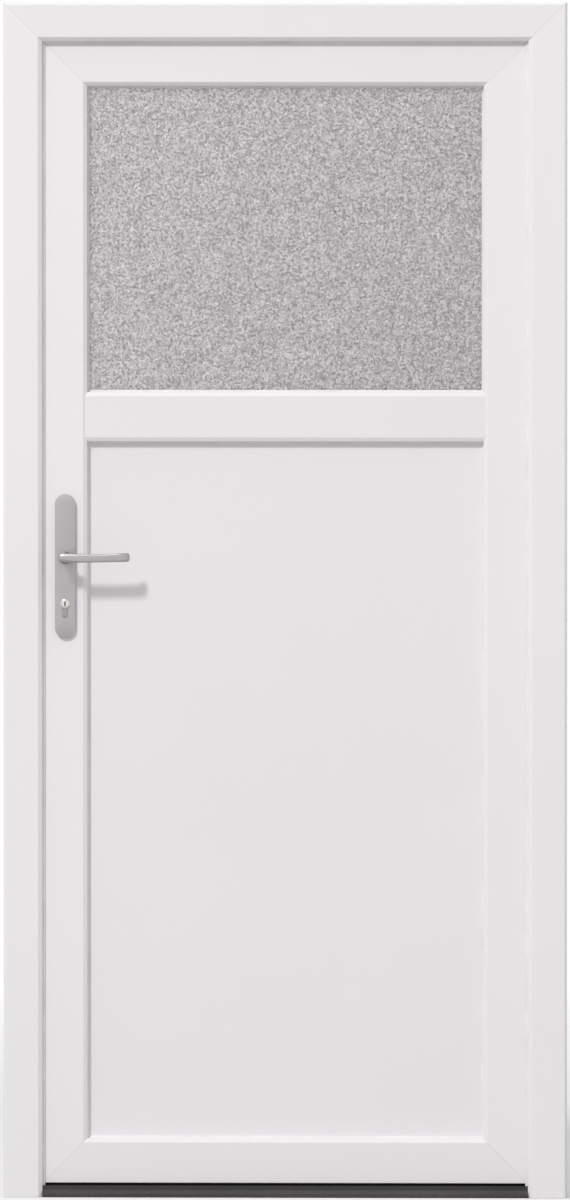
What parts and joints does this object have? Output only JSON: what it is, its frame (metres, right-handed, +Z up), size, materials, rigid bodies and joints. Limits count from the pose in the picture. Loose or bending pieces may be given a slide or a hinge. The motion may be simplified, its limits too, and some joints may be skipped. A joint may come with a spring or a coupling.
{
  "type": "PVC side door in its frame, glazed top, solid lower panel",
  "caption": "White PVC side door in its frame, opening inward, with an obscure glass top light, a flat lower panel, a lever handle on a long plate and a low dark threshold.",
  "frame": {"origin": "middle of the threshold's underside, at half the frame's depth", "axes": "+X to the right as seen from outside (hinge side), +Y into the house, +Z up"},
  "size_m": [0.98, 0.183, 2.08],
  "materials": {
    "white_pvc": "satin",
    "white_panel": "satin",
    "grey_rubber": "matte",
    "black_rubber": "matte",
    "black_plastic": "matte",
    "dark_aluminium": "satin",
    "zinc_steel": "satin",
    "nickel_steel": "satin",
    "white_metal": "satin",
    "obscure_glass": "gloss",
    "clear_glass": "gloss",
    "spacer_metal": "satin",
    "satin_aluminium": "satin",
    "nickel_brass": "satin"
  },
  "bodies": {
    "frame": {"frame_head": "white_pvc", "frame_jamb_lock": "white_pvc", "frame_jamb_hinge": "white_pvc", "frame_seal": "grey_rubber", "threshold": "dark_aluminium", "threshold_base": "black_plastic", "threshold_ends": "black_plastic", "strike_plate": "zinc_steel", "hinge_top_frame_part": "white_metal", "hinge_middle_frame_part": "white_metal", "hinge_bottom_frame_part": "white_metal"},
    "leaf": {"leaf_stile_lock": "white_pvc", "leaf_stile_hinge": "white_pvc", "leaf_top_rail": "white_pvc", "leaf_bottom_rail": "white_pvc", "leaf_midrail": "white_pvc", "glass_outer": "obscure_glass", "glass_inner": "clear_glass", "glass_spacer": "spacer_metal", "glass_seal": "grey_rubber", "glass_bead_top": "white_pvc", "glass_bead_bottom": "white_pvc", "glass_bead_lock": "white_pvc", "glass_bead_hinge": "white_pvc", "panel": "white_panel", "panel_seal": "grey_rubber", "panel_bead_top": "white_pvc", "panel_bead_bottom": "white_pvc", "panel_bead_lock": "white_pvc", "panel_bead_hinge": "white_pvc", "leaf_seal": "grey_rubber", "bottom_seal": "black_rubber", "lock_faceplate": "zinc_steel", "lock_bolts": "nickel_steel", "handle_plate_outer": "satin_aluminium", "handle_plate_inner": "satin_aluminium", "lock_cylinder": "nickel_brass", "hinge_top_leaf_part": "white_metal", "hinge_middle_leaf_part": "white_metal", "hinge_bottom_leaf_part": "white_metal"},
    "lever": {"lever_outer": "satin_aluminium", "lever_inner": "satin_aluminium", "spindle": "zinc_steel"}
  },
  "joints": [
    {"name": "leaf_swing", "type": "hinge", "parent": "frame", "child": "leaf", "pos_m": [0.458, 0.065, 1.04], "axis": [0, 0, -1], "range_deg": [0, 110]},
    {"name": "lever_turn", "type": "hinge", "parent": "leaf", "child": "lever", "pos_m": [-0.3832, 0.018, 1.114], "axis": [0, 1, 0], "range_deg": [0, 40], "stiffness_Nm_per_rad": 1.5, "springref_deg": -22.92}
  ]
}
